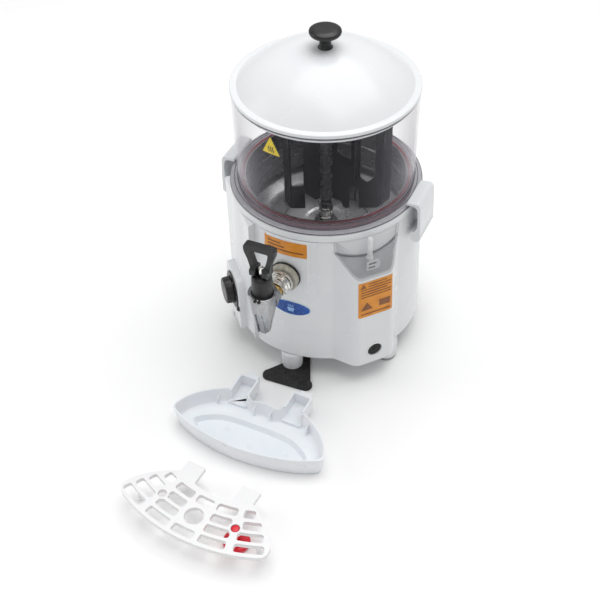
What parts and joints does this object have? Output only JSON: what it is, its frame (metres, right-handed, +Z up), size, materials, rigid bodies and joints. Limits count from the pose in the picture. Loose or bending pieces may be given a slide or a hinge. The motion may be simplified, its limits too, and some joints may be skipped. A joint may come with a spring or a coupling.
{
  "type": "hot sauce dispenser",
  "caption": "Countertop water-jacket dispenser for hot sauce or drink, with clear bowl, domed lid, stirrer, lever tap, thermostat, level gauge, drip tray and grid.",
  "frame": {"origin": "bottom centre of the whole set: machine, and the tray, grid and float that stand in front of it", "axes": "+Z up, -Y towards the user, the side of the tap; +X to the right as the user sees it"},
  "size_m": [0.288, 0.6009, 0.465],
  "materials": {
    "white_plastic": "moulded gloss",
    "black_plastic": "moulded satin",
    "black_rubber": "matt",
    "red_rubber": "satin",
    "red_plastic": "moulded gloss",
    "clear_plastic": "clear moulded",
    "brushed_steel": "spun and brushed",
    "chrome": "polished plating",
    "brass": "turned",
    "aluminium": "satin"
  },
  "bodies": {
    "machine": {"base_housing": "white_plastic", "bezel_ring": "white_plastic", "level_plate": "white_plastic", "front_leg": "white_plastic", "right_leg": "white_plastic", "left_leg": "white_plastic", "rear_leg": "white_plastic", "thermostat_body": "black_plastic", "dial_plate": "black_plastic", "pilot_lamp": "black_plastic", "terminal_block": "black_plastic", "power_inlet": "black_plastic", "tap_bonnet": "black_plastic", "shaft_seal": "black_rubber", "tap_gasket": "black_rubber", "right_pad": "black_rubber", "left_pad": "black_rubber", "rear_pad": "black_rubber", "triangular_foot": "black_rubber", "bowl_gasket": "red_rubber", "drain_hose": "red_rubber", "bowl": "clear_plastic", "gauge_window": "clear_plastic", "product_pan": "brushed_steel", "pan_wall": "brushed_steel", "water_bath": "brushed_steel", "motor": "brushed_steel", "motor_bracket": "brushed_steel", "tap_spring": "brushed_steel", "left_clip_pin": "brushed_steel", "right_clip_pin": "brushed_steel", "heater_ring": "chrome", "overheat_cutout": "chrome", "tap_nut": "chrome", "tap_pipe": "chrome", "tap_body": "chrome", "drain_spigot": "brass", "base_plate": "aluminium", "gearbox": "aluminium"},
    "agitator": {"drive_shaft": "brushed_steel", "agitator": "black_plastic", "agitator_cap": "black_plastic"},
    "lid": {"lid": "white_plastic", "lid_knob": "black_plastic", "lid_screw": "brushed_steel"},
    "tap_plunger": {"tap_plunger": "chrome", "tap_seal": "black_rubber"},
    "tap_lever": {"tap_lever": "black_plastic", "tap_pin": "brushed_steel"},
    "thermostat_knob": {"thermostat_knob": "black_plastic"},
    "left_clip": {"left_clip": "white_plastic"},
    "right_clip": {"right_clip": "white_plastic"},
    "gauge_float": {"gauge_float": "white_plastic"},
    "drain_plug": {"drain_plug": "black_rubber"},
    "drip_tray": {"drip_tray": "white_plastic"},
    "drip_grid": {"drip_grid": "white_plastic"},
    "tray_float": {"tray_float": "red_plastic"}
  },
  "joints": [
    {"name": "agitator_turn", "type": "hinge", "parent": "machine", "child": "agitator", "pos_m": [0, 0.1609, 0.205], "axis": [0, 0, 1], "continuous": true},
    {"name": "lid_lift", "type": "slide", "parent": "machine", "child": "lid", "axis": [0, 0, 1], "range_m": [0, 0.14]},
    {"name": "tap_lever_tilt", "type": "hinge", "parent": "tap_plunger", "child": "tap_lever", "pos_m": [0, -0.0391, 0.242], "axis": [1, 0, 0], "range_deg": [0, 60], "stiffness_Nm_per_rad": 0.05, "springref_deg": -8.59},
    {"name": "tap_plunger_lift", "type": "slide", "parent": "machine", "child": "tap_plunger", "axis": [0, 0, 1], "range_m": [0, 0.0032], "deforming": ["tap_spring"]},
    {"name": "thermostat_turn", "type": "hinge", "parent": "machine", "child": "thermostat_knob", "pos_m": [-0.10449, 0.06682, 0.083], "axis": [-0.7431, -0.6691, 0], "range_deg": [-270, 0]},
    {"name": "left_clip_swing", "type": "hinge", "parent": "machine", "child": "left_clip", "pos_m": [-0.1372, 0.1609, 0.2025], "axis": [0, -1, 0], "range_deg": [0, 60]},
    {"name": "right_clip_swing", "type": "hinge", "parent": "machine", "child": "right_clip", "pos_m": [0.1372, 0.1609, 0.2025], "axis": [0, 1, 0], "range_deg": [0, 60]},
    {"name": "gauge_float_rise", "type": "slide", "parent": "machine", "child": "gauge_float", "axis": [0, 0, 1], "range_m": [0, 0.012]},
    {"name": "drain_plug_pull", "type": "slide", "parent": "machine", "child": "drain_plug", "axis": [0.7501, -0.6613, 0], "range_m": [0, 0.035]},
    {"name": "drip_tray_slide", "type": "slide", "parent": "machine", "child": "drip_tray", "axis": [0, 1, 0], "range_m": [0, 0.045]},
    {"name": "drip_grid_lift", "type": "slide", "parent": "machine", "child": "drip_grid", "axis": [0, 0, 1], "range_m": [0, 0.08]},
    {"name": "tray_float_rise", "type": "slide", "parent": "drip_grid", "child": "tray_float", "axis": [0, 0, 1], "range_m": [0, 0.014]}
  ],
  "couplings": [
    {"joint": "tap_plunger_lift", "follows": "tap_lever_tilt", "m_per_rad": 0.00286}
  ]
}
